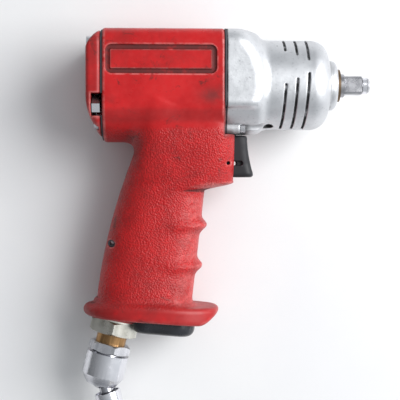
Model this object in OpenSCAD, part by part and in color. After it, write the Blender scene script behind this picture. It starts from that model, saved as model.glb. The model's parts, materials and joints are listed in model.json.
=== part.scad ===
// Pistol-grip air impact wrench with a square drive, lying on its left side.
//
// Every module below is drawn with the tool upright: the shoulder of the square
// drive is the origin, +X runs out along the drive, +Z is the top of the tool and
// -Y is its right side. lay() turns that into the part's own frame, where the right
// side faces +Z, the top of the tool faces +Y and the drive still points along +X.

/* [Drive] */
// across flats of the square drive (3/8 inch)
drive_af = 9.525; // [9.5:0.005:9.55]
// how far the drive stands out of its shoulder
drive_len = 12.4; // [12.2:0.1:13]

/* [Hammer case] */
// radius of the round part of the hammer case
case_r = 23.5; // [23.4:0.1:24.2]
// drive shoulder to the back of the hammer case
case_len = 64.5; // [64.3:0.1:65]

/* [Motor housing] */
// length of the motor barrel
barrel_len = 62.4; // [62.2:0.1:63.5]
// width of the motor barrel
barrel_w = 52; // [51.6:0.1:54]
// drive axis up to the top of the barrel
barrel_top = 27.4; // [27.2:0.1:29]

/* [Grip] */
// height of the drive axis above the underside of the grip's foot
grip_drop = 124.5; // [124:0.1:126]
// width of the grip where the hand holds it
grip_w = 36; // [35:0.5:38]
// distance from one finger ridge to the next
finger_pitch = 21.3; // [21:0.1:21.6]

/* [Air inlet] */
// across flats of the inlet bushing
inlet_af = 24.6; // [24:0.1:25]
// backward lean of the air inlet
inlet_lean = 13.5; // [13:0.5:14]
// angle of the swivel's stem to the inlet
stem_bend = 29.2; // [20:0.1:29.2]

/* [Movement] */
// how far the trigger pulls in
trigger_travel = 4; // [3:0.5:4]

/* [Output] */
// sub-part to draw, or all of them

/* [Hidden] */
$fn = 96;
eps = 0.5;

// ---- stations along the drive axis, counted back from the drive shoulder ----
nose_x = -2.6;                       // front opening of the hammer case
boss_x = -5.6;                         // start of the domed nose
face_x = -10;                        // front face of the hammer case
shoulder_r = 9.5;                    // rounding between that face and the cylinder
flare_x = -44;                       // round part starts to widen
flange_x = -50.4;                    // widened part is full size
joint_x = -case_len;
gasket_t = 0.8;
barrel_x = joint_x - gasket_t;       // front of the motor housing
barrel_end = barrel_x - barrel_len;
cover_gasket_t = 0.5;
cover_x = barrel_end - cover_gasket_t;
cover_len = 7.7;
rear_x = cover_x - cover_len;

// ---- radii of the drive train ----
boss_r = 13.1;
journal_r = 6.2;
bushing_r = 8.6;
cavity_r = 21.5;                     // hammer cavity of the case
motor_r = 20.6;                      // bore of the motor housing
running = 0.05;                      // running clearance of every shaft

// ---- barrel section ----
half_w = barrel_w / 2;
barrel_low = 30.2;                   // radius of the round underside of the barrel
top_round = 8.5;
flange_round = 25.8;                 // round underside of the case where it meets the motor
crease_z = -13;
crease_round = 4.2;

// ---- grip ----
foot_z = -grip_drop;
grip_top_z = -20;
trigger_z = -41.2;                   // axis of the trigger pin and the throttle
grip_face_x = -59.6;                 // front face of the grip behind the trigger
grip_roof_z = -flange_round - 0.6;   // top of the grip under the hammer case
ledge_z = -53.4;                     // where the grip steps back under the trigger

// ---- air inlet, measured along its axis away from the foot ----
inlet_x = -122.4;
inlet_z = foot_z - 2.8;
hex_h = 7.2;
washer_t = 0.8;
hex_at = -hex_h / 2;                 // top of the inlet bushing's hexagon
inlet_thread_r = 8.3;
inlet_bore_r = 6.5;
nipple_r = 6.58;
collar_end = 9;
swivel_af = 19.5;
swivel_hex_end = 13.9;
sleeve_at = 14.6;
sleeve_r = 11.2;
spigot_r = 8.6;
spigot_end = 19.5;
clip_at = 16.6;                      // groove shared by the spigot and the sleeve
clip_w = 1.2;
ball_at = 27;
ball_r = 7;
lip = 3;                             // ball centre to the lip that holds it
sleeve_end = 31.5;

// the foot and the barrel side both touch the bench when the tool lies down
foot_w = 46;
lie_tilt = atan((half_w - foot_w / 2) / (grip_drop - 6));

red = [0.74, 0.13, 0.12];
silver = [0.80, 0.81, 0.82];
steel = [0.60, 0.61, 0.63];
dark = [0.13, 0.13, 0.14];
brass = [0.72, 0.56, 0.28];
bronze = [0.62, 0.45, 0.24];

// ---------------------------------------------------------------- placing ----

module lay() rotate([-90 + lie_tilt, 0, 0]) children();

// children drawn along +Z from z = 0 run forward along the drive from x
module from_x(x) translate([x, 0, 0]) rotate([0, 90, 0]) children();

// a 2D outline in (y, z) extruded forward from x
module slab(x, len) translate([x, 0, 0]) rotate([90, 0, 90]) linear_extrude(height = len) children();

// children drawn with +Z leading out of the foot along the inlet axis
module on_inlet() translate([inlet_x, 0, inlet_z]) rotate([0, 180 + inlet_lean, 0]) children();

// children drawn with +Z leading out of the ball along the swivel's stem
module on_stem() on_inlet() translate([0, 0, ball_at]) rotate([0, -stem_bend, 0]) children();

module rod_x(x, r, len) from_x(x) cylinder(h = len, r = r);

module ring(r_out, r_in, h) {
  difference() {
    cylinder(h = h, r = r_out);
    translate([0, 0, -eps]) cylinder(h = h + 2 * eps, r = r_in);
  }
}

module ring_x(x, r_out, r_in, len) from_x(x) ring(r_out, r_in, len);

module hex(af, h) cylinder(h = h, r = af / sqrt(3), $fn = 6);

// a hexagon whose corners are turned down at both ends
module turned_hex(af, h) {
  c = 0.10 * af;
  intersection() {
    hex(af, h);
    union() {
      cylinder(h = c, r1 = af / 2 - 0.1, r2 = af / 2 + 1.75 * c - 0.1);
      translate([0, 0, c]) cylinder(h = h - 2 * c, r = af);
      translate([0, 0, h - c]) cylinder(h = c, r1 = af / 2 + 1.75 * c - 0.1, r2 = af / 2 - 0.1);
    }
  }
}

function arc(cx, cy, r, a0, a1, n) =
  [for (i = [0 : n]) [cx + r * cos(a0 + (a1 - a0) * i / n), cy + r * sin(a0 + (a1 - a0) * i / n)]];

function mix(a, b, t) = a + (b - a) * t;

function ease(t) = let (u = min(max(t, 0), 1)) u * u * (3 - 2 * u);

// ---------------------------------------------------------------- outlines ----

function barrel_points(in) = let (r = barrel_low - in, a = acos((half_w - in) / r)) concat(
  arc(half_w - top_round, barrel_top - top_round, top_round - in, 0, 90, 9),
  arc(top_round - half_w, barrel_top - top_round, top_round - in, 90, 180, 9),
  arc(0, 0, r, 180 + a, 360 - a, 24));

module barrel_outline(in = 0) polygon(barrel_points(in));

// the case follows the barrel above the crease and is round below it
function flange_points() = let (a = acos((half_w - crease_round) / flange_round)) concat(
  arc(half_w - crease_round, crease_z + crease_round, crease_round, -90, 0, 4),
  arc(half_w - top_round, barrel_top - top_round, top_round, 0, 90, 8),
  arc(top_round - half_w, barrel_top - top_round, top_round, 90, 180, 8),
  arc(crease_round - half_w, crease_z + crease_round, crease_round, 180, 270, 4),
  arc(0, 0, flange_round, 180 + a, 360 - a, 20));

module flange_outline() polygon(flange_points());

// ------------------------------------------------------------- hammer case ----

slot_x = [-34, -28.2, -22.4];
slot_w = 1.25;

// one groove on the right side of the case, between two angles above the horizontal
module groove(x, low, high) {
  translate([x - slot_w / 2, 0, 0]) rotate([-high, 0, 0]) rotate([0, 90, 0]) rotate([0, 0, -90])
    rotate_extrude(angle = high - low) translate([case_r - 1.1, 0]) square([3, slot_w]);
}

// three grooves over the top and three longer ones under each side, closer
// together toward the front
module case_grooves() {
  for (i = [0 : 2], side = [0, 1]) mirror([0, side, 0]) {
    groove(slot_x[i], 44 - 7.5 * i, 80);
    groove(slot_x[i], -78, 7.2 * i - 2.4);
  }
}

// the dome between the boss and the opening for the drive
dome_r = 21.2;
dome_back = sqrt(dome_r * dome_r - boss_r * boss_r);

module hammer_case() {
  color(silver) difference() {
    union() {
      from_x(flange_x - eps) rotate_extrude() {
        h0 = boss_x - flange_x + eps;
        f0 = face_x - flange_x + eps;
        square([boss_r, h0]);
        square([case_r - shoulder_r, f0]);
        square([case_r, f0 - shoulder_r]);
        intersection() {
          translate([case_r - shoulder_r, f0 - shoulder_r]) circle(r = shoulder_r);
          translate([case_r - shoulder_r - eps, 0]) square([shoulder_r + 2 * eps, f0 + eps]);
        }
      }
      from_x(boss_x) intersection() {
        translate([0, 0, -dome_back]) sphere(r = dome_r);
        cylinder(h = boss_x * -1 + nose_x, r = boss_r);
      }
      hull() {
        rod_x(flare_x, case_r, 0.2, $fn = 48);
        slab(flange_x, 0.2) flange_outline();
      }
      slab(joint_x, flange_x - joint_x + 0.1) flange_outline();
      for (s = [-1, 1]) translate([0, s * pad_y, pad_z]) rod_x(joint_x, 3, 7.5);
    }
    rod_x(nose_x - 4, journal_r + 0.15, 6);
    rod_x(-26, bushing_r, 26 - 3.4);
    rod_x(joint_x - eps, cavity_r, -25.5 - joint_x + eps);
    case_grooves();
    port_place() cylinder(h = 8, r = port_r);
    port_place() translate([0, 0, -3]) cylinder(h = 6, r = 1);
    for (s = [-1, 1]) {
      translate([0, s * bolt_y, bolt_z]) rod_x(joint_x - eps, bolt_r + 0.1, 12 + eps);
      translate([0, s * pad_y, pad_z]) rod_x(joint_x - eps, pad_bolt_r + 0.1, 12);
      translate([0, s * pad_y, pad_z]) rod_x(joint_x + 7.5, pad_head_r + 0.2, 14);
    }
  }
}

// small bosses under the case for its two lower screws
pad_y = 12.5;
pad_z = -23.2;
pad_head_r = 2.5;
pad_bolt_r = 1.5;

port_r = 2.45;
module port_place() translate([-42, 0, 0]) rotate([70, 0, 0]) translate([0, 0, -case_r]) mirror([0, 0, 1])
  translate([0, 0, -1.7]) children();

module grease_plug() {
  color(steel) port_place() difference() {
    cylinder(h = 1.1, r = port_r - 0.03);
    translate([0, 0, 0.3]) hex(2, 2);
  }
}

module anvil_bushing() {
  color(bronze) ring_x(-25.3, bushing_r - 0.02, journal_r + running, 21.7);
}

module case_gasket() {
  color(dark) difference() {
    union() {
      slab(barrel_x, gasket_t) flange_outline();
      for (s = [-1, 1]) translate([0, s * pad_y, pad_z]) rod_x(barrel_x, 3.3, gasket_t);
    }
    rod_x(barrel_x - eps, motor_r + 0.6, 3);
    gasket_holes();
  }
}

module gasket_holes() {
  for (s = [-1, 1]) {
    translate([0, s * bolt_y, bolt_z]) rod_x(barrel_x - eps, bolt_r + 0.2, 3);
    translate([0, s * pad_y, pad_z]) rod_x(barrel_x - eps, pad_bolt_r + 0.2, 3);
  }
}

module case_screws() {
  color(steel) for (s = [-1, 1]) translate([0, s * pad_y, pad_z]) difference() {
    union() {
      rod_x(barrel_x - 8, pad_bolt_r, 8 + gasket_t + 7.5);
      rod_x(joint_x + 7.5, pad_head_r, 2.6);
    }
    from_x(joint_x + 8.6) hex(2.5, 4);
  }
}

// ------------------------------------------------------------- drive train ----

module anvil() {
  color(steel) difference() {
    union() {
      intersection() {
        translate([nose_x, -drive_af / 2, -drive_af / 2]) cube([8 - nose_x, drive_af, drive_af]);
        rod_x(nose_x - eps, 5.9, 12);
      }
      from_x(-1.4) cylinder(h = 1.9, r1 = journal_r, r2 = 4.4);
      from_x(8) cylinder(h = 0.5, r1 = 5, r2 = 4.25);
      rod_x(8, 3.1, 4);
      rod_x(8.2, 4.25, 0.4);
      from_x(11.2) cylinder(h = drive_len - 11.2, r1 = 4.25, r2 = 3.5);
      rod_x(-26, journal_r, 24.7);
      rod_x(-28, 9.5, 2.3);
      rod_x(-56.7, 5, 20);
      rod_x(-56, 7.4, 30);
      anvil_lugs();
    }
    from_x(10.9) cylinder(h = 4, r = 0.9);
  }
}

module anvil_lugs() {
  intersection() {
    translate([-53, -10.2, -2.8]) cube([20, 20.4, 5.6]);
    rod_x(-54, 10.2, 22);
  }
}

module retaining_ring() {
  color(silver) difference() {
    ring_x(8.75, 4.3, 3.85, 2.3);
    translate([8, -0.4, 0]) cube([4, 0.8, 6]);
  }
}

module ring_cushion() {
  color(dark) from_x(9.9) rotate_extrude() translate([3.47, 0]) circle(r = 0.34);
}

cage_r = 20.6;
dog_z = 14;
cage_x = -61.5;

module hammer_cage() {
  color(steel) difference() {
    rod_x(cage_x, cage_r, 33);
    rod_x(cage_x + 4.5, 10.8, 25.5);
    rod_x(cage_x + 20, 7.9, 14);
    from_x(cage_x - 1) hex(9.6, 5.5);
    for (s = [-1, 1]) {
      translate([0, 0, s * dog_z]) rod_x(cage_x + 4, 5.6, 26);
      translate([0, 0, s * dog_z]) rod_x(cage_x + 1.5, 3.1, 30);
      translate([cage_x + 17, s * (cage_r + 8), 0]) rotate([0, 90, 0])
        translate([0, 0, -11]) cylinder(h = 22, r = 10.5);
    }
  }
}

module hammer_dogs() {
  color(dark) for (s = [-1, 1]) translate([0, 0, s * dog_z]) difference() {
    union() {
      rod_x(cage_x + 4.3, 5.4, 25.4);
      translate([cage_x + 8, 0.6, s > 0 ? -6 : 0]) cube([17, 3.3, 6]);
    }
    rod_x(cage_x, 3.1, 40);
  }
}

module hammer_pins() {
  color(silver) for (s = [-1, 1]) translate([0, 0, s * dog_z]) rod_x(cage_x + 1.7, 3.05, 29.6);
}

// ------------------------------------------------------------------- motor ----

plate_t = 4.6;
liner_front = -73;
liner_rear = -111;
rotor_r = 15.4;
shaft_r = 5;

module rotor() {
  color(steel) difference() {
    union() {
      rod_x(liner_rear + 0.1, rotor_r, liner_front - liner_rear - 0.2);
      rod_x(liner_front - 1, shaft_r, cage_x - liner_front);
      from_x(cage_x - 1.1) hex(9.4, 5);
      rod_x(liner_rear - 6.4, shaft_r, 7);
    }
    vane_places() translate([liner_rear, -0.85, 7.5]) cube([40, 1.7, 12]);
  }
}

module vane_places() {
  for (i = [0 : 5]) rotate([i * 60 + 20, 0, 0]) children();
}

module rotor_vanes() {
  color([0.35, 0.25, 0.16]) vane_places()
    translate([liner_rear + 0.3, -0.8, 7.6]) cube([liner_front - liner_rear - 0.6, 1.6, 8.5]);
}

module cylinder_liner() {
  color(silver) difference() {
    rod_x(liner_rear, motor_r - 0.1, liner_front - liner_rear);
    translate([0, 0, -1.4]) rod_x(liner_rear - eps, 17.8, 40);
    for (i = [-2 : 2]) translate([-92 + i * 6, 0, -25]) cylinder(h = 10, r = 1.6);
  }
}

module front_end_plate() {
  color(steel) difference() {
    rod_x(liner_front, motor_r - 0.1, plate_t);
    rod_x(liner_front - eps, shaft_r + 0.5, 8);
    rod_x(liner_front + 1.2, 10.05, 8);
  }
}

// a ball bearing: two races and eight balls
module ball_bearing(x, w) {
  ring_x(x, 10, 8.6, w);
  ring_x(x, 6.6, shaft_r + running, w);
  for (i = [0 : 7]) rotate([i * 45, 0, 0]) translate([x + w / 2, 7.6, 0]) sphere(r = 0.97, $fn = 24);
}

module front_bearing() { color(silver) ball_bearing(liner_front + 1.3, 3.3); }

module rear_end_plate() {
  color(steel) difference() {
    rod_x(liner_rear - plate_t - 3, motor_r - 0.1, plate_t + 3);
    rod_x(liner_rear - 9, shaft_r + 0.5, 12);
    rod_x(liner_rear - 9, 10.05, 7.4);
  }
}

module rear_bearing() { color(silver) ball_bearing(liner_rear - 5.3, 3.6); }

// ------------------------------------------------------------------- grip ----

// the front of the grip: a leaning line with a ridge between each pair of fingers,
// stepping forward to the trigger above the ledge
function finger_line(z) = -75.1 + (z + 72.9) * 0.113
  + 1.9 * cos(360 * (z + 71.9) / finger_pitch) * ease((-57 - z) / 8);
function grip_front(z) = mix(grip_face_x, finger_line(z), ease((ledge_z + 3.4 - z) / 7));

// the back of the grip: a shallow curve falling backward
function grip_rear(z) = let (d = -33.6 - z) -110.8 - 0.414 * d + 0.00192 * d * d;

// half the width of the grip at a height
function grip_half(z) = mix(mix(half_w - 3, grip_w / 2, ease((-26 - z) / 38)), grip_w / 2 + 1.5, ease((-92 - z) / 20));

// a station of the grip: back point, front point, half width
function grip_station(z) = [grip_rear(z), z, grip_front(z), z, grip_half(z)];

foot_len = 71.6;
foot_back = -138.6;
foot_front = foot_back + foot_len;
foot_half = foot_w / 2;
// the flared foot, from the waist above it down to its underside
foot_stations = [
  [grip_rear(-111.5), -111.5, grip_front(-108.5), -108.5, grip_half(-110)],
  [foot_back + 4.2, foot_z + 10.2, foot_front - 9.2, foot_z + 11.2, foot_half - 2.8],
  [foot_back + 0.9, foot_z + 9, foot_front - 3.4, foot_z + 8, foot_half - 0.7],
  [foot_back, foot_z + 7, foot_front, foot_z + 4.2, foot_half],
  [foot_back + 1.2, foot_z + 5, foot_front - 2.4, foot_z + 1.6, foot_half - 0.6],
  [foot_back + 3.8, foot_z + 4, foot_front - 8, foot_z - 1.2, foot_half - 3]
];

grip_levels = concat(
  [for (z = [grip_top_z : -5 : -45]) z],
  [for (z = [-49 : -1.5 : -61]) z],
  [for (i = [0 : 17]) -63 - i * finger_pitch / 8]);
grip_stations = concat([for (z = grip_levels) if (z > -107) grip_station(z)], foot_stations);

// points round one station: a rounded oval, fuller than an ellipse
oval_n = 28;
function full(c) = sign(c) * pow(abs(c), 0.78);
function oval(s) = let (
  mid_x = (s[0] + s[2]) / 2,
  mid_z = (s[1] + s[3]) / 2,
  run_x = (s[2] - s[0]) / 2,
  run_z = (s[3] - s[1]) / 2)
  [for (i = [0 : oval_n - 1]) let (a = 360 * i / oval_n, c = full(cos(a)))
    [mid_x + run_x * c, s[4] * full(sin(a)), mid_z + run_z * c]];

// a closed skin over a list of stations running downward
module loft(stations) {
  n = len(stations);
  points = [for (s = stations) each oval(s)];
  side = [for (k = [0 : n - 2], i = [0 : oval_n - 1]) let (
    j = (i + 1) % oval_n,
    a = k * oval_n + i,
    b = k * oval_n + j,
    c = a + oval_n,
    d = b + oval_n)
    each [[a, b, d], [a, d, c]]];
  top = [[for (i = [oval_n - 1 : -1 : 0]) i]];
  low = [[for (i = [0 : oval_n - 1]) (n - 1) * oval_n + i]];
  polyhedron(points = points, faces = concat(side, top, low));
}

// ------------------------------------------------------------ motor housing ----

panel_x = -96.1;
panel_z = 8.4;
panel_len = 55.2;
panel_h = 13;
panel_depth = 0.9;

// the recess round the label: a rounded frame that leaves the label field standing
module panel_recess() {
  for (s = [-1, 1]) translate([panel_x, s * (half_w - panel_depth / 2 + 1), panel_z]) rotate([90, 0, 0])
    linear_extrude(height = panel_depth + 2, center = true) difference() {
      panel_outline(0);
      panel_outline(2);
    }
}

module panel_outline(in) {
  polygon([for (c = [[1, 1, 0], [-1, 1, 90], [-1, -1, 180], [1, -1, 270]])
    each arc(c[0] * (panel_len / 2 - 3), c[1] * (panel_h / 2 - 3), 3 - in * 0.8, c[2], c[2] + 90, 4)]);
}

bolt_y = 19.5;
bolt_z = 19.5;
bolt_r = 2;
low_y = 15.5;
low_z = -20.5;

trigger_w = 12.8;
trigger_back = -70;
pocket_x = trigger_back - trigger_travel - 3;
pocket_low = -50;
throttle_r = 5.5;
throttle_x = -108;
trigger_pin_x = -63.3;
trigger_pin_r = 0.9;
grip_pin_x = -123.5;
grip_pin_z = -83;
grip_pin_r = 1.85;

module motor_housing() {
  color(red) difference() {
    union() {
      slab(barrel_end, barrel_len) barrel_outline();
      loft(grip_stations);
      on_inlet() translate([0, 0, hex_at - washer_t - 8]) cylinder(h = 8, r = 13.5);
    }
    translate([barrel_x, -40, grip_roof_z]) cube([20, 80, 80]);
    rod_x(barrel_end - eps, motor_r, barrel_len + 2 * eps);
    panel_recess();
    for (s = [-1, 1]) {
      translate([0, s * bolt_y, bolt_z]) rod_x(barrel_end - eps, bolt_r + 0.1, barrel_len + 2 * eps);
      translate([0, s * low_y, low_z]) rod_x(barrel_end - eps, bolt_r - 0.25, 12);
      translate([0, s * pad_y, pad_z]) rod_x(barrel_x - 9, pad_bolt_r + 0.05, 12);
    }
    trigger_pocket();
    air_passages();
    across(grip_pin_x, grip_pin_z) cylinder(h = 60, r = grip_pin_r + 0.02, center = true);
    on_foot() translate([deflector_screw_x, 0, 0.1 - 2]) cylinder(h = 12, r = 1.3);
  }
}

module trigger_pocket() {
  w = trigger_w + 0.8;
  translate([pocket_x, -w / 2, pocket_low]) cube([30, w, grip_roof_z - pocket_low + 0.4]);
  across(trigger_pin_x, trigger_z) cylinder(h = 60, r = trigger_pin_r + 0.01, center = true);
}

// children drawn along +Z lie across the tool at a place in its side view
module across(x, z) translate([x, 0, z]) rotate([90, 0, 0]) children();

module air_passages() {
  // throttle bore, running back from the trigger
  translate([0, 0, trigger_z]) rod_x(throttle_x, throttle_r, pocket_x + eps - throttle_x);
  // from the throttle up to the motor
  translate([-88.5, 0, trigger_z]) cylinder(h = 24, r = 3);
  // inlet up the grip into the back of the throttle bore
  on_inlet() {
    translate([0, 0, -89]) cylinder(h = 90, r = inlet_bore_r);
    translate([0, 0, -26]) cylinder(h = 30, r = inlet_thread_r + 0.05);
    translate([0, 0, hex_at - washer_t]) cylinder(h = 20, r = 14.7);
  }
  // exhaust down both sides of the throttle, then down the middle of the grip
  for (s = [-1, 1]) translate([-91.5, s * 11.5, -56]) cylinder(h = 38, r = 3);
  across(-91.5, -56) cylinder(h = 23, r = 3.2, center = true);
  translate([-91.5, 0, -54]) rotate([0, 183.2, 0]) cylinder(h = 80, r = 5.4);
}

// ------------------------------------------------------------- rear cover ----

lever_z = -11.8;                     // middle of the notches for the lever's thumb tabs
notch_h = 11.4;
lever_recess_r = 20.4;
lever_front = cover_x - 0.5;
lever_t = 4;
low_seat = 6.2;
high_seat = 4.2;

// the cover's outline at its back, drawn in at the top and farther at the bottom
module cover_back(in) {
  intersection() {
    barrel_outline(in);
    translate([-half_w, -16]) square([barrel_w, 40]);
  }
}

module rear_cover() {
  color(red) difference() {
    hull() {
      slab(cover_x - 0.8, 0.8) barrel_outline(0.3);
      slab(rear_x + 1.2, 0.2) cover_back(0.3);
      slab(rear_x, 0.2) cover_back(1.5);
    }
    translate([lever_front - lever_t - 0.5, -40, lever_z - notch_h / 2]) cube([10, 80, notch_h]);
    rod_x(lever_front - lever_t - 0.5, lever_recess_r, 8);
    detent_place() sphere(r = 1.25, $fn = 32);
    for (s = [-1, 1]) {
      translate([0, s * bolt_y, bolt_z]) screw_seat(rear_x + high_seat);
      translate([0, s * low_y, low_z]) screw_seat(rear_x + low_seat);
    }
  }
}

// clearance hole with a counterbore for the head behind x
module screw_seat(x) {
  rod_x(x - eps, bolt_r + 0.1, 12);
  rod_x(x - 12, 3.7, 12);
}

module detent_place() translate([lever_front - lever_t - 0.8, 0, 11]) children();

module cover_gasket() {
  color(dark) difference() {
    slab(cover_x, cover_gasket_t) barrel_outline(0.9);
    rod_x(cover_x - 1, motor_r - 0.2, 3);
    translate([cover_x - 1, -40, lever_z - notch_h / 2]) cube([3, 80, notch_h]);
    for (s = [-1, 1]) {
      translate([0, s * bolt_y, bolt_z]) rod_x(cover_x - 1, bolt_r + 0.2, 3);
      translate([0, s * low_y, low_z]) rod_x(cover_x - 1, bolt_r + 0.2, 3);
    }
  }
}

// a two-ended lever on the drive axis whose tabs reach out through both notches
module reverse_lever() {
  color(silver) difference() {
    union() {
      rod_x(lever_front - lever_t, 14, lever_t);
      intersection() {
        for (s = [0, 1]) mirror([0, s, 0]) rotate([-29, 0, 0])
          translate([lever_front - lever_t, 0, -2.4]) cube([lever_t, 30, 4.8]);
        rod_x(lever_front - lever_t - 1, 28.3, lever_t + 2);
      }
    }
    from_x(lever_front - lever_t - 1) hex(7.1, lever_t + 2);
    for (a = [-4, 0, 4]) rotate([a, 0, 0]) detent_place() sphere(r = 1.3, $fn = 32);
  }
}

module reverse_valve() {
  color(brass) difference() {
    union() {
      rod_x(barrel_end + 1.6, 17.8, 5.6);
      from_x(lever_front - lever_t + 0.3) hex(7, barrel_end - lever_front + lever_t + 2);
    }
    for (i = [0 : 3]) rotate([45 + 90 * i, 0, 0]) translate([0, 0, 12]) rod_x(barrel_end, 2.6, 12);
  }
}

module lever_detent() {
  color(silver) detent_place() sphere(r = 1.2, $fn = 32);
}

// a socket-head screw whose head sits behind x
module cap_screw(x, len, head_len) {
  difference() {
    union() {
      rod_x(x, bolt_r, len);
      rod_x(x - head_len, 3.5, head_len);
    }
    from_x(x - head_len - 1) hex(3, 1 + 0.6 * head_len);
  }
}

module through_bolts() {
  seat = rear_x + high_seat;
  color(steel) for (s = [-1, 1]) translate([0, s * bolt_y, bolt_z]) cap_screw(seat, joint_x + 11 - seat, 3.8);
}

module cover_screws() {
  seat = rear_x + low_seat;
  color(steel) for (s = [-1, 1]) translate([0, s * low_y, low_z]) difference() {
    union() {
      rod_x(seat, bolt_r - 0.3, barrel_end + 10 - seat);
      rod_x(seat - 2.2, 3.5, 2.2);
    }
    from_x(seat - 3) hex(2.5, 2.2);
  }
}

// --------------------------------------------------------- trigger, throttle ----

trigger_top = grip_roof_z - 0.2;
trigger_low = -48.6;
trigger_front = -52.4;
slot_r = trigger_pin_r + 0.3;

// the finger face: straight at the top, curving forward toward the bottom
function trigger_face(z) = trigger_front + 3.8 * pow((z - trigger_top) / (trigger_low - trigger_top), 2);

module trigger() {
  color(dark) difference() {
    translate([0, trigger_w / 2, 0]) rotate([90, 0, 0]) linear_extrude(height = trigger_w) polygon(concat(
      [[trigger_back, trigger_low], [trigger_back, trigger_top]],
      [[trigger_front - 1, trigger_top]],
      [for (i = [1 : 10]) let (z = mix(trigger_top, trigger_low + 1.6, i / 10)) [trigger_face(z), z]],
      [[trigger_face(trigger_low) - 1.8, trigger_low]]));
    across(0, trigger_z) hull() for (x = [trigger_pin_x - 0.1, trigger_pin_x + trigger_travel + 3])
      translate([x, 0, -10]) cylinder(h = 20, r = slot_r, $fn = 24);
    translate([0, 0, trigger_z]) rod_x(trigger_back - 1, 1.52, 4.1);
  }
}

module trigger_pin() {
  color(steel) across(trigger_pin_x, trigger_z) cylinder(h = 19, r = trigger_pin_r, center = true);
}

seat_x = -95;                        // face the throttle valve closes against

module trigger_rod() {
  color(silver) translate([0, 0, trigger_z]) rod_x(seat_x - 0.05, 1.5, trigger_back + 3 - seat_x);
}

module rod_bush() {
  color(brass) translate([0, 0, trigger_z]) ring_x(-85, throttle_r - 0.02, 1.5 + running, 7.8);
}

module rod_seal() {
  color(dark) translate([0, 0, trigger_z]) ring_x(-86.3, throttle_r - 0.2, 1.58, 1.2);
}

module valve_seat() {
  color(brass) translate([0, 0, trigger_z]) ring_x(seat_x, throttle_r - 0.02, 3, 3);
}

module throttle_valve() {
  color(dark) translate([0, 0, trigger_z]) {
    rod_x(seat_x - 2.1, 4.6, 2);
    rod_x(seat_x - 5, 2.2, 3);
  }
}

// a round-wire compression spring along +Z
module coil(r, wire, len, turns) {
  per = 20;
  round = 6;
  n = turns * per;
  points = [for (k = [0 : n], i = [0 : round - 1]) let (a = 360 * k / per, b = 360 * i / round, w = r + wire * cos(b))
    [w * cos(a), w * sin(a), mix(wire, len - wire, k / n) + wire * sin(b)]];
  side = [for (k = [0 : n - 1], i = [0 : round - 1]) let (
    a = k * round + i,
    b = k * round + (i + 1) % round)
    each [[a, b, b + round], [a, b + round, a + round]]];
  ends = [[for (i = [round - 1 : -1 : 0]) i], [for (i = [0 : round - 1]) n * round + i]];
  polyhedron(points = points, faces = concat(side, ends));
}

module valve_spring() {
  color(silver) translate([throttle_x + 0.1, 0, trigger_z]) rotate([0, 90, 0])
    coil(3.4, 0.45, seat_x - 2.2 - throttle_x, 5);
}

// ---------------------------------------------------------------- grip parts ----

module grip_pin() {
  color(steel) across(grip_pin_x, grip_pin_z) translate([0, 0, -7.5]) ring(grip_pin_r, 1.1, 15);
}

// children drawn with z = 0 on the underside of the foot
foot_slope = atan((foot_stations[5][1] - foot_stations[5][3]) / (foot_stations[5][2] - foot_stations[5][0]));
deflector_x = -96.6;
module on_foot() {
  z = foot_stations[5][1] - (deflector_x - foot_stations[5][0]) * tan(foot_slope);
  translate([deflector_x, 0, z]) rotate([0, foot_slope, 0]) children();
}

deflector_half = [16.6, 17];
deflector_h = 6.8;
deflector_screw_x = 12.6;

module deflector_outline(in) {
  polygon([for (c = [[1, 1, 0], [-1, 1, 90], [-1, -1, 180], [1, -1, 270]])
    each arc(c[0] * (deflector_half[0] - 9), c[1] * (deflector_half[1] - 9), 9 - in, c[2], c[2] + 90, 8)]);
}

module exhaust_deflector() {
  color(dark) difference() {
    on_foot() hull() {
      translate([0, 0, -3.4]) linear_extrude(height = 3.3) deflector_outline(0);
      translate([0, 0, -deflector_h]) linear_extrude(height = 1) deflector_outline(2.4);
    }
    on_inlet() translate([0, 0, -30]) cylinder(h = 60, r = 14.9);
    on_foot() {
      translate([0, 0, -3.6]) cylinder(h = 5, r = 8.6);
      for (i = [-2 : 2]) translate([i * 3 - 0.7, -6, -8]) cube([1.4, 12, 6]);
      translate([deflector_screw_x, 0, -8]) cylinder(h = 10, r = 1.6);
      translate([deflector_screw_x, 0, -10]) cylinder(h = 6.4, r = 3);
    }
  }
}

module deflector_screw() {
  color(steel) on_foot() translate([deflector_screw_x, 0, 0]) difference() {
    union() {
      translate([0, 0, -3.6]) cylinder(h = 12, r = 1.28);
      translate([0, 0, -5.4]) cylinder(h = 1.8, r = 2.8);
    }
    translate([0, 0, -6.3]) hex(2, 2.3);
  }
}

module exhaust_muffler() {
  color([0.45, 0.43, 0.38]) on_foot() translate([0, 0, -2.2]) cylinder(h = 2, r = 8.5);
}

// ----------------------------------------------------------------- air inlet ----

module inlet_washer() {
  color(silver) on_inlet() translate([0, 0, hex_at - washer_t]) ring(13, inlet_thread_r + 0.1, washer_t);
}

module inlet_bushing() {
  color(silver) on_inlet() difference() {
    union() {
      translate([0, 0, hex_at]) rotate([0, 0, 30]) turned_hex(inlet_af, hex_h);
      translate([0, 0, hex_at - 16]) cylinder(h = 17, r = inlet_thread_r);
    }
    translate([0, 0, -30]) cylinder(h = 60, r = 5);
    translate([0, 0, -8]) cylinder(h = 30, r = nipple_r + 0.04);
  }
}

module inlet_screen() {
  color(steel) on_inlet() translate([0, 0, hex_at - 15.9]) difference() {
    cylinder(h = 9, r = 4.95);
    translate([0, 0, 0.5]) cylinder(h = 9, r = 4.5);
    for (i = [0 : 7], k = [0 : 2]) rotate([0, 0, i * 45 + k * 22.5]) translate([0, 0, 2 + 2.4 * k])
      rotate([0, 90, 0]) cylinder(h = 6, r = 0.7, $fn = 16);
  }
}

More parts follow.
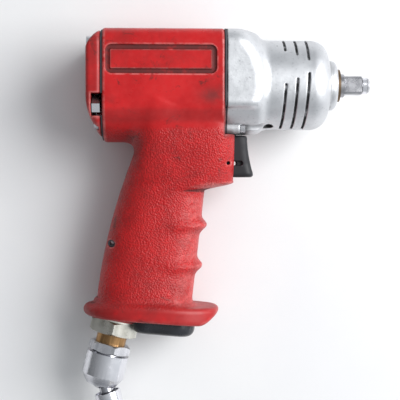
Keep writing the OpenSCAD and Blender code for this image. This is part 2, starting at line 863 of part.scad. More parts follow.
module inlet_nipple() {
  color(brass) on_inlet() difference() {
    union() {
      translate([0, 0, -7.5]) cylinder(h = 12, r = nipple_r);
      translate([0, 0, -hex_at + 0.05]) cylinder(h = collar_end + hex_at - 0.05, r = 7.9);
      translate([0, 0, collar_end - 1]) cylinder(h = 5, r = 6);
    }
    translate([0, 0, -30]) cylinder(h = 60, r = 3.6);
  }
}

module swivel_body() {
  color(silver) on_inlet() difference() {
    union() {
      translate([0, 0, collar_end + 0.05]) rotate([0, 0, 13])
        turned_hex(swivel_af, swivel_hex_end - collar_end - 0.05);
      translate([0, 0, collar_end + 1]) cylinder(h = spigot_end - collar_end - 1, r = spigot_r - 0.6);
      translate([0, 0, sleeve_at + 0.4]) cylinder(h = spigot_end - sleeve_at - 0.4, r = spigot_r);
    }
    cylinder(h = collar_end + 4.2, r = 6.04);
    cylinder(h = 40, r = 3.6);
    translate([0, 0, clip_at]) ring(spigot_r + 1, spigot_r - 0.9, clip_w);
  }
}

module swivel_sleeve() {
  taper_at = ball_at - 0.4;
  color(silver) on_inlet() difference() {
    union() {
      translate([0, 0, sleeve_at]) cylinder(h = taper_at - sleeve_at, r = sleeve_r);
      translate([0, 0, taper_at]) cylinder(h = sleeve_end - taper_at, r1 = sleeve_r, r2 = 7.9);
    }
    translate([0, 0, sleeve_at - 1]) cylinder(h = spigot_end + 1.3 - sleeve_at, r = spigot_r + 0.03);
    translate([0, 0, clip_at]) cylinder(h = clip_w, r = spigot_r + 0.95);
    translate([0, 0, sleeve_at]) cylinder(h = ball_at - sleeve_at, r = ball_r + running);
    intersection() {
      translate([0, 0, ball_at]) sphere(r = ball_r + running);
      cylinder(h = ball_at + lip, r = 20);
    }
    translate([0, 0, ball_at + lip - 0.01])
      cylinder(h = sleeve_end - ball_at - lip + 0.02, r1 = sqrt(pow(ball_r + running, 2) - lip * lip), r2 = 7.25);
  }
}

// a snap ring half in the spigot and half in the sleeve, which turns on it
module sleeve_clip() {
  color(steel) on_inlet() translate([0, 0, clip_at + 0.05]) difference() {
    ring(spigot_r + 0.9, spigot_r - 0.8, clip_w - 0.1);
    translate([0, -1.5, -1]) cube([20, 3, 4]);
  }
}

module swivel_seal() {
  color(dark) on_inlet() difference() {
    translate([0, 0, spigot_end + 0.1]) cylinder(h = 3.6, r = ball_r - running);
    translate([0, 0, ball_at]) sphere(r = ball_r + running);
    cylinder(h = 40, r = 3.6);
  }
}

// ------------------------------------------------- stem, measured from the ball ----

stem_r = 6.9;
stem_end = 24;

module swivel_stem() {
  color(silver) on_stem() difference() {
    union() {
      sphere(r = ball_r);
      cylinder(h = 14, r = 3.7);
      translate([0, 0, 9]) cylinder(h = stem_end - 10, r = stem_r);
      translate([0, 0, stem_end - 1]) cylinder(h = 1, r1 = stem_r, r2 = stem_r - 0.8);
    }
    translate([0, 0, -10]) cylinder(h = 60, r = 2.4);
    translate([0, 0, 17]) cylinder(h = 10, r = 5);
    translate([0, 0, 8]) difference() {
      cylinder(h = 2.2, r = 6.1);
      translate([0, 0, -1]) cylinder(h = 5, r = 3.7);
    }
  }
}

plug_r = 5.95;
plug_nose_r = 3.93;
plug_nose_len = 8;

module air_plug() {
  color(steel) on_stem() difference() {
    union() {
      translate([0, 0, 17.4]) cylinder(h = 8, r = 4.95);
      translate([0, 0, stem_end + 0.1]) turned_hex(14.3, 5.4);
      translate([0, 0, 29]) cylinder(h = 6, r = 4.9);
      translate([0, 0, 32]) cylinder(h = 2.2, r1 = 4.9, r2 = plug_r);
      translate([0, 0, 34.2]) cylinder(h = 1.8, r = plug_r);
      translate([0, 0, 36]) cylinder(h = 1.4, r1 = plug_r, r2 = 4.3);
      translate([0, 0, 37.4]) cylinder(h = 3.4, r = 4.3);
      translate([0, 0, 40.8]) cylinder(h = 1.2, r1 = 4.3, r2 = plug_r);
      translate([0, 0, 42]) cylinder(h = 2.6, r = plug_r);
      translate([0, 0, 44.6]) cylinder(h = 1.6, r1 = plug_r, r2 = plug_nose_r);
      translate([0, 0, 46.2]) cylinder(h = plug_nose_len, r = plug_nose_r);
    }
    translate([0, 0, 10]) cylinder(h = 60, r = 2.6);
  }
}

// ------------------------------------------------------------------- output ----

lay() hammer_case();
lay() grease_plug();
lay() anvil();
lay() retaining_ring();
lay() ring_cushion();
lay() anvil_bushing();
lay() hammer_cage();
lay() hammer_dogs();
lay() hammer_pins();
lay() case_gasket();
lay() case_screws();
lay() motor_housing();
lay() cylinder_liner();
lay() rotor();
lay() rotor_vanes();
lay() front_end_plate();
lay() front_bearing();
lay() rear_end_plate();
lay() rear_bearing();
lay() cover_gasket();
lay() rear_cover();
lay() reverse_lever();
lay() reverse_valve();
lay() lever_detent();
lay() through_bolts();
lay() cover_screws();
lay() trigger();
lay() trigger_pin();
lay() trigger_rod();
lay() rod_bush();
lay() rod_seal();
lay() valve_seat();
lay() throttle_valve();
lay() valve_spring();
lay() grip_pin();
lay() exhaust_deflector();
lay() deflector_screw();
lay() exhaust_muffler();
lay() inlet_washer();
lay() inlet_bushing();
lay() inlet_screen();
lay() inlet_nipple();
lay() swivel_body();
lay() swivel_sleeve();
lay() sleeve_clip();
lay() swivel_seal();
lay() swivel_stem();
lay() air_plug();
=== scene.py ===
import json
import math

import bpy
import numpy as np
import openvdb
from mathutils import Matrix, Vector


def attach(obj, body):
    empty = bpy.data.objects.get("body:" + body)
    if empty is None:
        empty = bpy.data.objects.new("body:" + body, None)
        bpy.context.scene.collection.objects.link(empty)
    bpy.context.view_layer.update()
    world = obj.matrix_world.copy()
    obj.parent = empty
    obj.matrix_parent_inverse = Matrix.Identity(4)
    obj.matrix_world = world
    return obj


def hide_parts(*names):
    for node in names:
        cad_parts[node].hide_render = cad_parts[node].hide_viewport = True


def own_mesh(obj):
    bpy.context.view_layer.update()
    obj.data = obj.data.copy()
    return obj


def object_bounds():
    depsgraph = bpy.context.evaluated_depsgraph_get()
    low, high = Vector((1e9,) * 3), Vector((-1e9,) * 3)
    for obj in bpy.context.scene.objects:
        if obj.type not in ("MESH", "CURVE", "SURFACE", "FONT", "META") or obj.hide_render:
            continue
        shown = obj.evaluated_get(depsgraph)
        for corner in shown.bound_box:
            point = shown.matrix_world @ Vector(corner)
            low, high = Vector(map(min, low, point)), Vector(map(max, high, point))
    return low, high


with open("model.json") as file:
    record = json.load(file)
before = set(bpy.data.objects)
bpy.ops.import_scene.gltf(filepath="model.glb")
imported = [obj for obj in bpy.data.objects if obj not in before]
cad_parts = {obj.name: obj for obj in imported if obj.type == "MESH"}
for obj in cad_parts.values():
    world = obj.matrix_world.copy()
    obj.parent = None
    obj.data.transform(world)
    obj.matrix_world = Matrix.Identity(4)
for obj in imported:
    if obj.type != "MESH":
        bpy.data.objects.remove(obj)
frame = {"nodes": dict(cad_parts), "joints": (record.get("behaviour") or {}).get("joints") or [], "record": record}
cad_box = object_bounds()

# ------------------------------------------------------------------ the frame
# The tool is drawn upright, in millimetres: X out along the drive, Y to its left
# side, Z to its top. The part lies on its left side, so these are turned to match.

JOINTS = {j["name"]: j for j in frame["joints"]}
AHEAD = np.array([1.0, 0.0, 0.0])
LEFT = np.array(JOINTS["swivel_bend"]["axis"])
LEFT = LEFT / np.linalg.norm(LEFT)
TOP = np.cross(AHEAD, LEFT)
AXES = np.array([AHEAD, LEFT, TOP])


def to_row(points):
    return np.asarray(points) @ AXES / 1000


def span(node):
    """Lowest and highest corner of a CAD node in the upright frame, in mm."""
    mesh = frame["nodes"][node].data
    flat = np.empty(3 * len(mesh.vertices))
    mesh.vertices.foreach_get("co", flat)
    upright = flat.reshape(-1, 3) @ AXES.T * 1000
    return upright.min(axis=0), upright.max(axis=0)


CASE = span("case_gasket")
HOUSING = span("motor_housing")
COVER = span("rear_cover")
TRIGGER = span("trigger")
LINER = span("cylinder_liner")

BARREL_X = CASE[0][0]
JOINT_X = CASE[1][0]
BARREL_END = span("cover_gasket")[1][0]
COVER_X = COVER[1][0]
REAR_X = COVER[0][0]
BARREL_TOP = CASE[1][2]
HALF_W = CASE[1][1]
MOTOR_R = LINER[1][1] + 0.1
BARREL_LOW = 30.2
TOP_ROUND = 8.5
FLANGE_ROUND = 25.8
CREASE_Z = -13.0
FOOT_BACK = HOUSING[0][0]
FOOT_LEN = 71.6
FOOT_HALF = 23.0
FOOT_TOP = -115.0
FOOT_HEEL = 3.8
FOOT_NOSE_Z = -119.3
GRIP_TOP = -14.0
GRIP_LOW = -119.0
GRIP_FACE_X = -59.6
GRIP_ROOF_Z = -FLANGE_ROUND - 0.6
LEDGE_Z = -53.4
FINGER_PITCH = 21.3
FINGER_FIRST = -73.6
FINGER_LOW = -106.0
TRIGGER_PIN = [(a + b) / 2 for a, b in zip(*span("trigger_pin"))]
GRIP_PIN = [(a + b) / 2 for a, b in zip(*span("grip_pin"))]
TRIGGER_PIN_R = 0.95
GRIP_PIN_R = 1.9
TRIGGER_SLOT = (-63.4, -59.2)
TRIGGER_SLOT_END = -56.3
ROD_R = 1.52
THROTTLE_R = 5.5
THROTTLE_X = (-108, -76)
POCKET_LOW = (-77, -6.8, -50)
POCKET_HIGH = (-40, 6.8, GRIP_ROOF_Z + 0.4)
PANEL_X = -97.8
PANEL_Z = 11.0
PANEL_LEN = 56.0
PANEL_H = 14.3
PANEL_ROUND = 3.0
GROOVE_W = 2.2
GROOVE_DEEP = 0.95
FIELD_DEEP = 0.3
NOTCH_Z = -11.8
NOTCH_H = 11.4
LEVER_ROOM_R = 20.4
LEVER_ROOM_DEEP = 5.0
COVER_SCREWS = ((19.5, 19.5, 4.2), (15.5, -20.5, 6.2))
CASE_R = 23.5
CASE_SCREW_Y = 12.5
CASE_SCREW_Z = -23.2
CASE_SCREW_DEEP = 7.5
PORT_X = -42.0
PORT_DOWN = math.radians(70)
SLOT_X = (-34.0, -28.2, -22.4)

SPIN = JOINTS["swivel_spin"]
BALL = AXES @ np.array(SPIN["pos_m"]) * 1000
INLET = AXES @ np.array(SPIN["axis"])
INLET = INLET / np.linalg.norm(INLET)
BALL_AT = 27.0
INLET_START = BALL - INLET * BALL_AT
FOOT_LOW = INLET_START[2] + 2.8
FOOT_REAR = FOOT_LOW + 4.0
FOOT_SLOPE = math.atan(5.2 / 59.8)
INLET_BOSS_R = 13.5
INLET_BOSS = (-12.4, -4.4)
INLET_SEAT_R = 14.7
INLET_BORE_R = 6.5
INLET_THREAD_R = 8.4
INLET_THREAD_DEEP = -26
DEFLECTOR_MIDDLE = -96.6
DEFLECTOR_DEEP = 6.75

# ------------------------------------------------------------- solid fields
# A field is negative inside a solid and about the distance to its skin outside.


def soft_min(a, b, k):
    h = np.maximum(k - np.abs(a - b), 0) / k
    return np.minimum(a, b) - h * h * k / 4


def soft_max(a, b, k):
    return -soft_min(-a, -b, k)


def ease(t):
    t = np.clip(t, 0, 1)
    return t * t * (3 - 2 * t)


def mix(a, b, t):
    return a + (b - a) * t


def corner_box(u, v, half_u, half_v, r):
    """A rectangle in two directions with corners of radius r."""
    a = np.abs(u) - half_u + r
    b = np.abs(v) - half_v + r
    return np.hypot(np.maximum(a, 0), np.maximum(b, 0)) + np.minimum(np.maximum(a, b), 0) - r


def between(t, low, high):
    return np.abs(t - (low + high) / 2) - (high - low) / 2


def block(x, y, z, low, high, r):
    """A box with rounded edges."""
    a = between(x, low[0], high[0]) + r
    b = between(y, low[1], high[1]) + r
    c = between(z, low[2], high[2]) + r
    outside = np.sqrt(np.maximum(a, 0) ** 2 + np.maximum(b, 0) ** 2 + np.maximum(c, 0) ** 2)
    return outside + np.minimum(np.maximum(np.maximum(a, b), c), 0) - r


def along(x, y, z, start, axis):
    """Distance along an axis and away from it."""
    dx = x - start[0]
    dy = y - start[1]
    dz = z - start[2]
    s = dx * axis[0] + dy * axis[1] + dz * axis[2]
    away = np.sqrt(np.maximum(dx * dx + dy * dy + dz * dz - s * s, 0))
    return s, away


def barrel_section(y, z, inset=0.0):
    middle = BARREL_TOP - HALF_W
    box = corner_box(y, z - middle, HALF_W - inset, HALF_W - inset, TOP_ROUND - inset)
    side = np.abs(y) - HALF_W + inset
    upper = np.where(z > middle, box, side)
    under = np.hypot(y, z) - BARREL_LOW + inset
    return soft_max(upper, np.where(z < 0, under, upper - 5), 3.0)


def flange_section(y, z):
    middle = BARREL_TOP - HALF_W
    box = corner_box(y, z - middle, HALF_W, HALF_W, TOP_ROUND)
    upper = soft_max(np.where(z > middle, box, np.abs(y) - HALF_W), CREASE_Z - z, 3.5)
    return soft_min(upper, np.hypot(y, z) - FLANGE_ROUND, 1.6)


# ---------------------------------------------------------------------- grip


def finger_crest(z):
    """One at the crest of each finger ridge, nothing in the hollows between."""
    turn = math.pi * (z - FINGER_FIRST) / FINGER_PITCH
    return np.cos(turn) ** 10 * ease((-60 - z) / 6) * ease((z - FINGER_LOW) / 6)


def finger_line(z):
    return -76.8 + (z + 72.9) * 0.113 + 2.4 * finger_crest(z)


def grip_front(z):
    return mix(GRIP_FACE_X, finger_line(z), ease((LEDGE_Z + 2.2 - z) / 4.6))


def grip_rear(z):
    d = -33.6 - z
    return -110.8 - 0.414 * d + 0.00192 * d * d


def grip_half(z):
    upper = mix(HALF_W - 2.1, 18.0, ease((-24 - z) / 40))
    return mix(upper, 19.5, ease((-92 - z) / 20))


def oval(u, v, half_u, half_v, full=2.56):
    """A rounded oval, fuller than an ellipse."""
    a = (np.abs(u) / half_u) ** full
    b = (np.abs(v) / half_v) ** full
    s = (a + b) ** (1 / full)
    return (s - 1) * (half_u * a + half_v * b) / (a + b + 1e-9)


def grip(x, y, z):
    front = grip_front(z)
    rear = grip_rear(z)
    full = mix(5.0, 2.56, ease((-24 - z) / 34))
    middle = (front + rear) / 2
    body = oval(x - middle, y, (front - rear) / 2, grip_half(z), full)
    body = body - 0.9 * finger_crest(z) * ease((x - middle - 3) / 11)
    return soft_max(body, between(z, GRIP_LOW, GRIP_TOP), 1.0)


def foot(x, y, z):
    middle = FOOT_BACK + FOOT_LEN / 2
    plan = oval(x - middle, y, FOOT_LEN / 2, FOOT_HALF)
    drop = x - FOOT_BACK - FOOT_HEEL
    under = (FOOT_REAR - z) * math.cos(FOOT_SLOPE) - drop * math.sin(FOOT_SLOPE)
    over = z - FOOT_TOP + 1.2 * ease((x - middle) / 30)
    nose = 0.60 * (x - FOOT_BACK - FOOT_LEN + 0.6) - 0.80 * (z - FOOT_NOSE_Z)
    plate = soft_max(soft_max(plan, under, 3.0), over, 3.0)
    return soft_max(plate, nose, 2.0)


def housing(x, y, z):
    barrel = soft_max(barrel_section(y, z), between(x, BARREL_END, BARREL_X), 1.8)
    handle = soft_min(grip(x, y, z), foot(x, y, z), 5.0)
    s, away = along(x, y, z, INLET_START, INLET)
    boss = soft_max(away - INLET_BOSS_R, between(s, *INLET_BOSS), 0.6)
    handle = soft_min(handle, boss, 1.5)
    lip = soft_max(handle, -np.maximum(BARREL_X - x, GRIP_ROOF_Z - z), 0.9)
    rear_blend = 1.2 + 7.8 * ease((-84 - x) / 20)
    whole = soft_min(barrel, lip, rear_blend)
    return housing_cuts(whole, x, y, z)


def housing_cuts(whole, x, y, z):
    whole = soft_max(whole, -(np.hypot(y, z) - MOTOR_R), 0.8)
    pocket = block(x, y, z, POCKET_LOW, POCKET_HIGH, 0.6)
    whole = soft_max(whole, -pocket, 0.8)
    throttle = np.maximum(np.hypot(y, z - TRIGGER_PIN[2]) - THROTTLE_R, between(x, *THROTTLE_X))
    whole = np.maximum(whole, -throttle)
    for pin, r in ((TRIGGER_PIN, TRIGGER_PIN_R), (GRIP_PIN, GRIP_PIN_R)):
        hole = np.hypot(x - pin[0], z - pin[2]) - r
        whole = soft_max(whole, -hole, 0.5)
    s, away = along(x, y, z, INLET_START, INLET)
    thread = np.maximum(away - INLET_THREAD_R, INLET_THREAD_DEEP - s)
    bore = np.minimum(away - INLET_BORE_R, thread)
    seat = np.maximum(away - INLET_SEAT_R, INLET_BOSS[1] - s)
    whole = np.maximum(whole, -np.maximum(np.minimum(bore, seat), -90 - s))
    panel = panel_border(x, z)
    channel = soft_max(panel, -(panel + GROOVE_W), 0.7)
    groove = soft_max(channel, HALF_W - GROOVE_DEEP - np.abs(y), 0.7)
    field = soft_max(panel + GROOVE_W, HALF_W - FIELD_DEEP - np.abs(y), 0.5)
    return soft_max(soft_max(whole, -groove, 0.5), -field, 0.3)


def panel_border(x, z):
    """Distance from the border of the panel on the barrel's side, seen square on."""
    return corner_box(x - PANEL_X, z - PANEL_Z, PANEL_LEN / 2, PANEL_H / 2, PANEL_ROUND)


# ---------------------------------------------------------------- other covers


def cover(x, y, z):
    body = barrel_section(y, z, 0.25)
    top_slope = 0.66 * (z - BARREL_TOP + 0.6) - 0.75 * (x - COVER_X + 0.9)
    low_slope = -0.42 * (z + 29.3) - 0.91 * (x - COVER_X + 0.6)
    body = soft_max(body, between(x, REAR_X, COVER_X), 2.6)
    body = soft_max(soft_max(body, top_slope, 2.0), low_slope, 3.0)
    notch = between(z, NOTCH_Z - NOTCH_H / 2, NOTCH_Z + NOTCH_H / 2)
    recess = np.minimum(np.hypot(y, z) - LEVER_ROOM_R, notch)
    recess = soft_max(recess, COVER_X - LEVER_ROOM_DEEP - x, 0.6)
    body = soft_max(body, -recess, 0.7)
    for bolt_y, bolt_z, seat in COVER_SCREWS:
        away = np.hypot(np.abs(y) - bolt_y, z - bolt_z)
        hole = np.minimum(away - 2.1, np.maximum(away - 3.7, x - REAR_X - seat))
        body = soft_max(body, -hole, 0.5)
    return body


def hammer_case(x, y, z):
    r = np.hypot(y, z)
    a = x + 19.5
    b = r - 14.0
    drum = np.hypot(np.maximum(a, 0), np.maximum(b, 0)) + np.minimum(np.maximum(a, b), 0) - 9.5
    boss = soft_max(r - 13.1, x + 5.2, 3.6)
    dome = np.hypot(x + 22.2, r) - 21.2
    boss = soft_max(boss, dome, 1.5)
    slope = 0.65 * (x + 50.4) + 0.76 * (r - 29.5)
    flange = soft_max(flange_section(y, z), x + 46.5, 2.0)
    flange = soft_max(flange, slope, 3.0)
    whole = soft_min(soft_min(drum, boss, 1.6), flange, 5.0)
    screw_end = JOINT_X + CASE_SCREW_DEEP
    from_screw = np.hypot(np.abs(y) - CASE_SCREW_Y, z - CASE_SCREW_Z)
    whole = soft_min(whole, soft_max(from_screw - 3, x - screw_end, 1.0), 1.2)
    screw_room = np.minimum(from_screw - 1.6, np.maximum(from_screw - 2.7, screw_end - x))
    whole = soft_max(whole, -screw_room, 0.5)
    whole = soft_max(whole, JOINT_X - x, 0.8)
    whole = case_grooves(whole, x, y, z, r)
    inside = np.minimum(r - 6.35, np.maximum(r - 8.6, x + 3.4))
    inside = np.minimum(inside, np.maximum(r - 21.5, x + 25.5))
    whole = soft_max(whole, -inside, 0.5)
    port = port_away(x, y, z) - 2.45
    port = soft_max(port, -(r - 21.75), 0.2)
    return soft_max(whole, -port, 0.6)


def port_away(x, y, z):
    """Distance from the axis of the lubrication port in the right side of the case."""
    out = (0, -math.cos(PORT_DOWN), -math.sin(PORT_DOWN))
    s, away = along(x, y, z, (PORT_X, 0, 0), out)
    return np.where(s > 0, away, 50.0)


def case_grooves(whole, x, y, z, r):
    height = np.degrees(np.arctan2(z, np.abs(y)))
    for i, at in enumerate(SLOT_X):
        lean = np.where(z < 5, (z - 5) * 0.05, 0)
        for low, high in ((44 - 7.5 * i, 82), (-80, 7.2 * i - 2.4)):
            sweep = (np.abs(height - (low + high) / 2) - (high - low) / 2) * CASE_R * math.pi / 180
            flat = np.hypot(x - at - lean, np.maximum(sweep + 0.6, 0)) - 0.62
            slit = soft_max(flat, CASE_R - 1.15 - r, 0.4)
            whole = soft_max(whole, -slit, 0.45)
    return whole


def trigger_face(z):
    t = (z - TRIGGER[1][2]) / (TRIGGER[0][2] - TRIGGER[1][2])
    return -52.4 + 3.8 * np.clip(t, -0.2, 1.2) ** 2


def trigger(x, y, z):
    half = TRIGGER[1][1]
    face = (x - trigger_face(z)) * 0.97
    body = soft_max(face, np.abs(y) - half, 4.5)
    body = soft_max(body, TRIGGER[0][2] - z, 2.6)
    body = soft_max(body, z - TRIGGER[1][2], 1.6)
    body = soft_max(body, TRIGGER[0][0] - x, 0.8)
    slot_low, slot_high = TRIGGER_SLOT
    slot = np.hypot(x - np.clip(x, slot_low, slot_high), z - TRIGGER_PIN[2]) - 1.2
    recess = np.hypot(x - np.clip(x, slot_low, TRIGGER_SLOT_END), z - TRIGGER_PIN[2]) - 1.2
    recess = soft_max(recess, half - 1.6 - np.abs(y), 0.3)
    body = soft_max(body, -np.minimum(slot, recess), 0.5)
    rod = np.maximum(np.hypot(y, z - TRIGGER_PIN[2]) - ROD_R, x + 66.9)
    return np.maximum(body, -rod)


def under_foot(x, z):
    """Place below the foot: along it from the deflector's middle, and down from its underside."""
    top = FOOT_REAR - (DEFLECTOR_MIDDLE - FOOT_BACK - FOOT_HEEL) * math.tan(FOOT_SLOPE)
    dx = x - DEFLECTOR_MIDDLE
    dz = z - top
    u = dx * math.cos(FOOT_SLOPE) - dz * math.sin(FOOT_SLOPE)
    w = -dx * math.sin(FOOT_SLOPE) - dz * math.cos(FOOT_SLOPE)
    return u, w


def deflector(x, y, z):
    u, w = under_foot(x, z)
    plan = corner_box(u, y, 16.6, 17.0, 9.0)
    body = soft_max(plan, w - DEFLECTOR_DEEP, 5.0)
    body = soft_max(body, 0.1 - w, 0.5)
    from_inlet = along(x, y, z, INLET_START, INLET)[1]
    body = soft_max(body, INLET_SEAT_R + 0.2 - from_inlet, 0.8)
    for i in range(-2, 3):
        vent = corner_box(u - 3 * i, y, 0.7, 6.0, 0.6)
        body = soft_max(body, -vent, 0.5)
    body = soft_max(body, -np.maximum(np.hypot(u, y) - 8.6, w - 3.6), 0.4)
    away = np.hypot(u - 12.6, y)
    screw = np.minimum(away - 1.6, np.maximum(away - 3.0, 3.6 - w))
    return soft_max(body, -screw, 0.4)


# ------------------------------------------------------------ skins from fields


def slope_of(field, p, reach=0.04):
    """Value and unit gradient of a field at some points."""
    x, y, z = p.T
    value = field(x, y, z)
    grad = np.stack([
        field(x + reach, y, z) - field(x - reach, y, z),
        field(x, y + reach, z) - field(x, y - reach, z),
        field(x, y, z + reach) - field(x, y, z - reach)], axis=1) / (2 * reach)
    size = np.maximum(np.linalg.norm(grad, axis=1, keepdims=True), 0.2)
    return value, grad / size, size[:, 0]


def carve(name, field, low, high, step):
    """An object whose skin is where the field is zero, with its true normals."""
    base = np.array(low, float) - 2 * step
    counts = np.ceil((np.array(high) + 2 * step - base) / step).astype(int) + 1
    ticks = [b + step * np.arange(n) for b, n in zip(base, counts)]
    x, y, z = np.meshgrid(*ticks, indexing="ij", sparse=True)
    values = np.broadcast_to(field(x, y, z), counts)
    values = np.clip(values, -3 * step, 3 * step).astype(np.float32)
    grid = openvdb.FloatGrid(3 * step)
    grid.copyFromArray(np.ascontiguousarray(values))
    points, quads = grid.convertToQuads(isovalue=0.0)
    p = points.astype(float) * step + base
    for _ in range(3):
        value, normal, size = slope_of(field, p)
        p = p - normal * np.clip(value / size, -0.5 * step, 0.5 * step)[:, None]
    normal = slope_of(field, p)[1]
    return skin(name, p, quads, normal)


def skin(name, p, faces, normal):
    quads = np.asarray(faces, dtype=np.int64)
    a, b, c = (p[quads[:, i]] for i in (0, 1, 2))
    facing = np.einsum("ij,ij->i", np.cross(b - a, c - a), normal[quads[:, 0]])
    if np.sum(facing) < 0:
        quads = quads[:, ::-1]
    mesh = bpy.data.meshes.new(name)
    mesh.from_pydata(to_row(p).tolist(), [], quads.tolist())
    mesh.shade_smooth()
    row_normal = normal @ AXES
    row_normal /= np.maximum(np.linalg.norm(row_normal, axis=1, keepdims=True), 1e-6)
    mesh.normals_split_custom_set_from_vertices(row_normal.tolist())
    upright = mesh.attributes.new("upright", "FLOAT_VECTOR", "POINT")
    upright.data.foreach_set("vector", p.astype(np.float32).ravel())
    obj = bpy.data.objects.new(name, mesh)
    bpy.context.scene.collection.objects.link(obj)
    return obj


def mark(obj, name, values):
    """Stores one number per point for a material to read."""
    layer = obj.data.attributes.new(name, "FLOAT", "POINT")
    layer.data.foreach_set("value", np.clip(values, 0, 1).astype(np.float32))


def points_of(obj):
    flat = np.empty(3 * len(obj.data.vertices), dtype=np.float32)
    obj.data.attributes["upright"].data.foreach_get("vector", flat)
    return flat.reshape(-1, 3).astype(float)


def bend_of(field, p, reach):
    """How sharply a skin is bent: positive on edges, negative in hollows."""
    total = -6 * field(*p.T)
    for axis in np.eye(3):
        for sign in (-1, 1):
            total = total + field(*(p + sign * reach * axis).T)
    return total / reach


# ------------------------------------------------------------------ materials


class Paint:
    """Builds one procedural material, a node at a time."""

    def __init__(self, name):
        self.material = bpy.data.materials.new(name)
        self.material.use_nodes = True
        self.tree = self.material.node_tree
        self.shader = self.tree.nodes["Principled BSDF"]

    def node(self, kind, **settings):
        made = self.tree.nodes.new(kind)
        for key, value in settings.items():
            setattr(made, key, value)
        return made

    def link(self, source, target):
        self.tree.links.new(source, target)

    def feed(self, value, socket):
        if isinstance(value, bpy.types.NodeSocket):
            self.link(value, socket)
        else:
            socket.default_value = value

    def place(self):
        return self.node("ShaderNodeTexCoord").outputs["Object"]

    def noise(self, scale, detail=4.0, roughness=0.55, distortion=0.0, place=None):
        made = self.node("ShaderNodeTexNoise")
        self.link(place or self.place(), made.inputs["Vector"])
        made.inputs["Scale"].default_value = scale
        made.inputs["Detail"].default_value = detail
        made.inputs["Roughness"].default_value = roughness
        made.inputs["Distortion"].default_value = distortion
        return made.outputs["Fac"]

    def stretched(self, x, y, z):
        made = self.node("ShaderNodeMapping")
        self.link(self.place(), made.inputs["Vector"])
        made.inputs["Scale"].default_value = (x, y, z)
        return made.outputs["Vector"]

    def cells(self, scale, feature="F1"):
        made = self.node("ShaderNodeTexVoronoi", feature=feature)
        self.link(self.place(), made.inputs["Vector"])
        made.inputs["Scale"].default_value = scale
        return made.outputs["Distance"]

    def mark(self, name):
        return self.node("ShaderNodeAttribute", attribute_name=name).outputs["Fac"]

    def range(self, value, low, high, to_low=0.0, to_high=1.0):
        made = self.node("ShaderNodeMapRange", interpolation_type="SMOOTHSTEP")
        self.feed(value, made.inputs["Value"])
        made.inputs["From Min"].default_value = low
        made.inputs["From Max"].default_value = high
        made.inputs["To Min"].default_value = to_low
        made.inputs["To Max"].default_value = to_high
        return made.outputs["Result"]

    def math(self, kind, a, b):
        made = self.node("ShaderNodeMath", operation=kind)
        self.feed(a, made.inputs[0])
        self.feed(b, made.inputs[1])
        return made.outputs[0]

    def blend(self, amount, a, b):
        made = self.node("ShaderNodeMix", data_type="RGBA")
        self.feed(amount, made.inputs["Factor"])
        for value, socket in ((a, made.inputs[6]), (b, made.inputs[7])):
            self.feed(value if isinstance(value, bpy.types.NodeSocket) else (*value, 1.0), socket)
        return made.outputs[2]

    def bump(self, height, strength, distance, below=None):
        made = self.node("ShaderNodeBump")
        made.inputs["Strength"].default_value = strength
        made.inputs["Distance"].default_value = distance
        self.link(height, made.inputs["Height"])
        if below is not None:
            self.link(below, made.inputs["Normal"])
        return made.outputs["Normal"]

    def edge(self, low, high):
        """Worn edges, from how sharply the mesh turns."""
        return self.range(self.node("ShaderNodeNewGeometry").outputs["Pointiness"], low, high)

    def finish(self, **inputs):
        for key, value in inputs.items():
            self.feed(value, self.shader.inputs[key.replace("_", " ")])
        return self.material


def red_shell():
    m = Paint("red shell")
    grain = m.mark("grain")
    grime_and_shade = m.mark("grime_and_shade")
    wear_and_light = m.mark("wear_and_light")
    tone = m.blend(m.range(m.noise(60, 5), 0.35, 0.7), (0.47, 0.007, 0.009), (0.58, 0.012, 0.014))
    tone = m.blend(m.range(m.noise(420, 3), 0.4, 0.75, 0, 0.35), tone, (0.56, 0.024, 0.024))
    # Lighter pink from the wear mark: worn edges, and painted light in the grip's finger valleys.
    wear_and_light_patch = m.math("MULTIPLY", wear_and_light, m.range(m.noise(260, 6, 0.7), 0.34, 0.60))
    tone = m.blend(m.math("MULTIPLY", wear_and_light_patch, 0.75), tone, (0.72, 0.19, 0.18))
    # Dark film from the grime mark: dirt, and painted shade where that mark holds it.
    dark_film_and_shade = m.math("MULTIPLY", grime_and_shade, m.range(m.noise(170, 6, 0.65), 0.15, 0.5))
    tone = m.blend(m.math("MULTIPLY", dark_film_and_shade, 0.85), tone, (0.030, 0.012, 0.011))
    smear = m.range(m.noise(38, 6, 0.62, 0.6), 0.50, 0.74, 0, 0.6)
    tone = m.blend(smear, tone, (0.20, 0.010, 0.010))
    stain = m.range(m.noise(75, 8, 0.72, 1.2), 0.58, 0.70, 0, 0.75)
    tone = m.blend(stain, tone, (0.085, 0.016, 0.014))
    held = m.math("MULTIPLY", grain, m.range(m.noise(52, 7, 0.7, 0.8), 0.42, 0.68, 0, 0.55))
    tone = m.blend(held, tone, (0.24, 0.012, 0.012))
    specks = m.range(m.noise(900, 2), 0.70, 0.78, 0, 0.5)
    tone = m.blend(specks, tone, (0.05, 0.012, 0.012))
    scratch = m.noise(1.0, 3, 0.6, 0.3, m.stretched(900, 120, 900))
    cell = m.cells(1150)
    leather = m.math("MULTIPLY", cell, m.math("ADD", m.range(m.noise(900, 2), 0.3, 0.7, 0, 0.4), 0.8))
    pits = m.math("MULTIPLY", m.range(cell, 0.25, 0.75, 0.35, 0), grain)
    tone = m.blend(pits, tone, (0.20, 0.010, 0.010))
    rough = m.math("ADD", m.range(m.noise(200, 4), 0.3, 0.7, 0.27, 0.36), m.math("MULTIPLY", grain, 0.10))
    rough = m.math("ADD", rough, m.math("MULTIPLY", dark_film_and_shade, 0.25))
    normal = m.bump(scratch, 0.05, 0.0002)
    normal = m.bump(m.noise(150, 3), 0.10, 0.0006, normal)
    normal = m.bump(m.math("MULTIPLY", leather, grain), 0.6, 0.0005, normal)
    return m.finish(Base_Color=tone, Roughness=rough, Normal=normal, Specular_IOR_Level=0.38)


